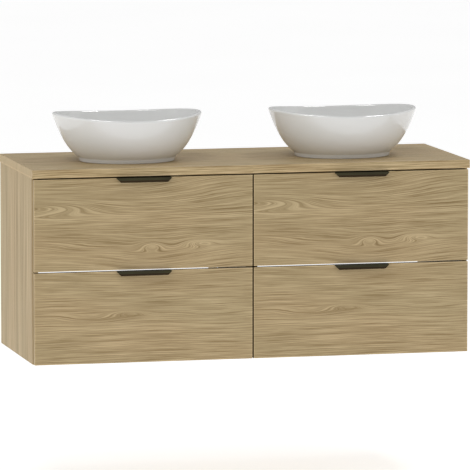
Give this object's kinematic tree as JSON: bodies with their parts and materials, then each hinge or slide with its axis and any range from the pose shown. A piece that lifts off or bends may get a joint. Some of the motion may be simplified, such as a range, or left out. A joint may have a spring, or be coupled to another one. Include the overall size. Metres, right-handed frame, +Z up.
{
  "type": "vanity with vessel basins",
  "caption": "Wall-hung oak-decor bathroom vanity with drawers and edge-pull handles, carrying oval white ceramic vessel basins on its countertop.",
  "frame": {"origin": "in the wall plane, midway along the vanity, at the middle of the countertop's back edge (11 mm below its upper face)", "axes": "+X to the right along the wall seen from the room, +Y into the wall, +Z up"},
  "size_m": [1.205, 0.471, 0.6542],
  "materials": {
    "oak_front": "matt oak decor, grain along X",
    "oak_top": "matt oak decor, grain along X",
    "oak_side": "matt oak decor, grain along Z",
    "white_ceramic": "gloss white glaze",
    "black_metal": "satin black powder coat",
    "grey_metal": "matt grey powder coat",
    "grey_board": "light grey melamine",
    "zinc_steel": "zinc plated",
    "chrome": "polished",
    "brass": "turned",
    "black_rubber": "matt"
  },
  "bodies": {
    "vanity": {"countertop": "oak_top", "hanger_brackets": "zinc_steel", "wall_plates": "zinc_steel", "countertop_screws": "zinc_steel", "cabinet_joining_bolts": "zinc_steel", "drain_washers": "black_rubber", "drain_nuts": "brass", "left_cabinet_side_left": "oak_side", "left_cabinet_side_right": "oak_side", "left_cabinet_bottom": "oak_side", "left_cabinet_top_rail": "oak_side", "left_cabinet_hanging_rail": "oak_side", "left_cabinet_lower_rail": "oak_side", "basin_left": "white_ceramic", "drain_body_left": "chrome", "left_lower_runner_rails": "zinc_steel", "left_upper_runner_rails": "zinc_steel", "right_cabinet_side_left": "oak_side", "right_cabinet_side_right": "oak_side", "right_cabinet_bottom": "oak_side", "right_cabinet_top_rail": "oak_side", "right_cabinet_hanging_rail": "oak_side", "right_cabinet_lower_rail": "oak_side", "basin_right": "white_ceramic", "drain_body_right": "chrome", "right_lower_runner_rails": "zinc_steel", "right_upper_runner_rails": "zinc_steel"},
    "drain_plug_left": {"drain_plug_left": "chrome"},
    "left_lower_drawer": {"left_lower_drawer_front": "oak_front", "left_lower_drawer_handle": "black_metal", "left_lower_drawer_side_left": "grey_metal", "left_lower_drawer_side_right": "grey_metal", "left_lower_drawer_bottom": "grey_board", "left_lower_drawer_back": "grey_board"},
    "left_lower_slides": {"left_lower_runner_slides": "zinc_steel"},
    "left_upper_drawer": {"left_upper_drawer_front": "oak_front", "left_upper_drawer_handle": "black_metal", "left_upper_drawer_side_left": "grey_metal", "left_upper_drawer_side_right": "grey_metal", "left_upper_drawer_bottom": "grey_board", "left_upper_drawer_back": "grey_board", "left_upper_drain_surround": "grey_metal"},
    "left_upper_slides": {"left_upper_runner_slides": "zinc_steel"},
    "drain_plug_right": {"drain_plug_right": "chrome"},
    "right_lower_drawer": {"right_lower_drawer_front": "oak_front", "right_lower_drawer_handle": "black_metal", "right_lower_drawer_side_left": "grey_metal", "right_lower_drawer_side_right": "grey_metal", "right_lower_drawer_bottom": "grey_board", "right_lower_drawer_back": "grey_board"},
    "right_lower_slides": {"right_lower_runner_slides": "zinc_steel"},
    "right_upper_drawer": {"right_upper_drawer_front": "oak_front", "right_upper_drawer_handle": "black_metal", "right_upper_drawer_side_left": "grey_metal", "right_upper_drawer_side_right": "grey_metal", "right_upper_drawer_bottom": "grey_board", "right_upper_drawer_back": "grey_board", "right_upper_drain_surround": "grey_metal"},
    "right_upper_slides": {"right_upper_runner_slides": "zinc_steel"}
  },
  "joints": [
    {"name": "drain_plug_left_lift", "type": "slide", "parent": "vanity", "child": "drain_plug_left", "axis": [0, 0, 1], "range_m": [0, 0.008]},
    {"name": "left_lower_drawer_pull", "type": "slide", "parent": "vanity", "child": "left_lower_drawer", "axis": [0, -1, 0], "range_m": [0, 0.34]},
    {"name": "left_lower_slides_travel", "type": "slide", "parent": "vanity", "child": "left_lower_slides", "axis": [0, -1, 0], "range_m": [0, 0.17]},
    {"name": "left_upper_drawer_pull", "type": "slide", "parent": "vanity", "child": "left_upper_drawer", "axis": [0, -1, 0], "range_m": [0, 0.34]},
    {"name": "left_upper_slides_travel", "type": "slide", "parent": "vanity", "child": "left_upper_slides", "axis": [0, -1, 0], "range_m": [0, 0.17]},
    {"name": "drain_plug_right_lift", "type": "slide", "parent": "vanity", "child": "drain_plug_right", "axis": [0, 0, 1], "range_m": [0, 0.008]},
    {"name": "right_lower_drawer_pull", "type": "slide", "parent": "vanity", "child": "right_lower_drawer", "axis": [0, -1, 0], "range_m": [0, 0.34]},
    {"name": "right_lower_slides_travel", "type": "slide", "parent": "vanity", "child": "right_lower_slides", "axis": [0, -1, 0], "range_m": [0, 0.17]},
    {"name": "right_upper_drawer_pull", "type": "slide", "parent": "vanity", "child": "right_upper_drawer", "axis": [0, -1, 0], "range_m": [0, 0.34]},
    {"name": "right_upper_slides_travel", "type": "slide", "parent": "vanity", "child": "right_upper_slides", "axis": [0, -1, 0], "range_m": [0, 0.17]}
  ],
  "couplings": [
    {"joint": "left_lower_slides_travel", "follows": "left_lower_drawer_pull", "ratio": 0.5},
    {"joint": "left_upper_slides_travel", "follows": "left_upper_drawer_pull", "ratio": 0.5},
    {"joint": "right_lower_slides_travel", "follows": "right_lower_drawer_pull", "ratio": 0.5},
    {"joint": "right_upper_slides_travel", "follows": "right_upper_drawer_pull", "ratio": 0.5}
  ]
}
